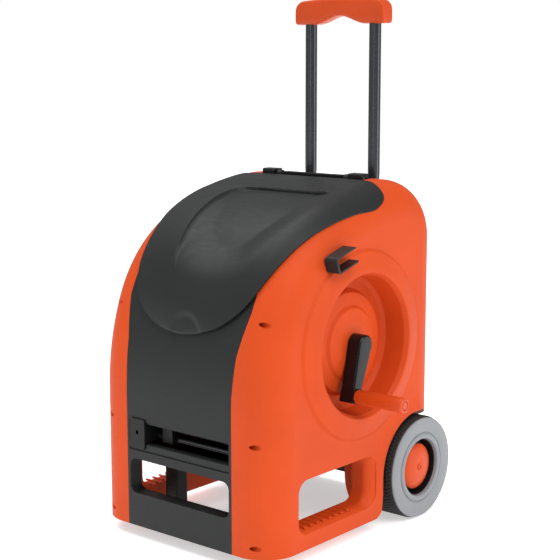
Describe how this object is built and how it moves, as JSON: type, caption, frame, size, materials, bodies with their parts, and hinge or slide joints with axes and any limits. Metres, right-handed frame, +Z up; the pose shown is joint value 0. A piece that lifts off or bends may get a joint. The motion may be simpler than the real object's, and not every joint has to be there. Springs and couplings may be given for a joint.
{
  "type": "garden hose reel cart",
  "caption": "Closed hose reel cart: moulded case with hinged lid, crank-driven drum, sliding hose guide, telescopic pull handle and rear wheels.",
  "frame": {"origin": "on the ground under the centre of the whole cart's box", "axes": "+Z up, -Y the front with the hose slot, +X the crank side"},
  "size_m": [0.5066, 0.4864, 0.901],
  "materials": {
    "orange_shell": "satin moulded plastic",
    "dark_shell": "satin moulded plastic",
    "black_plastic": "matt moulded plastic",
    "crank_gloss": "gloss",
    "orange_trim": "satin moulded plastic",
    "drum_plastic": "matt moulded plastic",
    "steel": "zinc plated",
    "dark_tube": "satin dark grey",
    "tyre": "matt rubber",
    "wheel_grey": "satin moulded plastic",
    "foot_rubber": "matt",
    "brass": "turned"
  },
  "bodies": {
    "case": {"side_panel_left": "orange_shell", "side_panel_right": "orange_shell", "front_panel": "dark_shell", "back_panel": "dark_shell", "inner_floor": "black_plastic", "front_leg_left": "black_plastic", "front_leg_right": "black_plastic", "foot_pad_left": "foot_rubber", "foot_pad_right": "foot_rubber", "guide_rod_lower": "dark_tube", "guide_rod_upper": "dark_tube", "guide_bracket_left": "black_plastic", "guide_bracket_right": "black_plastic", "drum_bush_left": "black_plastic", "drum_bush_right": "black_plastic", "water_inlet": "brass", "wheel_axle": "steel", "axle_clip_left": "steel", "axle_clip_right": "steel", "handle_sleeve_left": "dark_tube", "handle_sleeve_right": "dark_tube", "sleeve_collar_left": "black_plastic", "sleeve_collar_right": "black_plastic", "hinge_block_left": "black_plastic", "hinge_block_right": "black_plastic", "hinge_pin_left": "steel", "hinge_pin_right": "steel", "hinge_rail": "black_plastic", "nozzle_clip": "dark_shell", "case_screws": "steel"},
    "lid": {"lid": "dark_shell", "lid_knuckle_left": "dark_shell", "lid_knuckle_right": "dark_shell"},
    "drum": {"drum_core": "drum_plastic", "drum_flange_left": "drum_plastic", "drum_flange_right": "drum_plastic", "drum_shaft": "steel", "crank_arm": "crank_gloss", "crank_pin": "steel"},
    "knob": {"crank_knob": "orange_trim"},
    "guide": {"hose_guide": "black_plastic"},
    "handle": {"handle_tube_left": "dark_tube", "handle_tube_right": "dark_tube", "tube_plug_left": "black_plastic", "tube_plug_right": "black_plastic", "handle_grip": "orange_trim"},
    "wheel_left": {"tyre_left": "tyre", "wheel_disc_left": "wheel_grey", "wheel_bush_left": "black_plastic", "wheel_cap_left": "orange_trim"},
    "wheel_right": {"tyre_right": "tyre", "wheel_disc_right": "wheel_grey", "wheel_bush_right": "black_plastic", "wheel_cap_right": "orange_trim"}
  },
  "joints": [
    {"name": "lid_hinge", "type": "hinge", "parent": "case", "child": "lid", "pos_m": [-0.04375, 0.11075, 0.591], "axis": [-1, 0, 0], "range_deg": [0, 95]},
    {"name": "drum_spin", "type": "hinge", "parent": "case", "child": "drum", "pos_m": [-0.04375, -0.00475, 0.3315], "axis": [1, 0, 0], "continuous": true},
    {"name": "knob_spin", "type": "hinge", "parent": "drum", "child": "knob", "pos_m": [0.15925, -0.02931, 0.25117], "axis": [1, 0, 0], "continuous": true},
    {"name": "guide_slide", "type": "slide", "parent": "case", "child": "guide", "axis": [1, 0, 0], "range_m": [0, 0.136]},
    {"name": "handle_slide", "type": "slide", "parent": "case", "child": "handle", "axis": [0, 0, -1], "range_m": [0, 0.26]},
    {"name": "wheel_left_spin", "type": "hinge", "parent": "case", "child": "wheel_left", "pos_m": [-0.22375, 0.15325, 0.09], "axis": [1, 0, 0], "continuous": true},
    {"name": "wheel_right_spin", "type": "hinge", "parent": "case", "child": "wheel_right", "pos_m": [0.13625, 0.15325, 0.09], "axis": [1, 0, 0], "continuous": true}
  ]
}
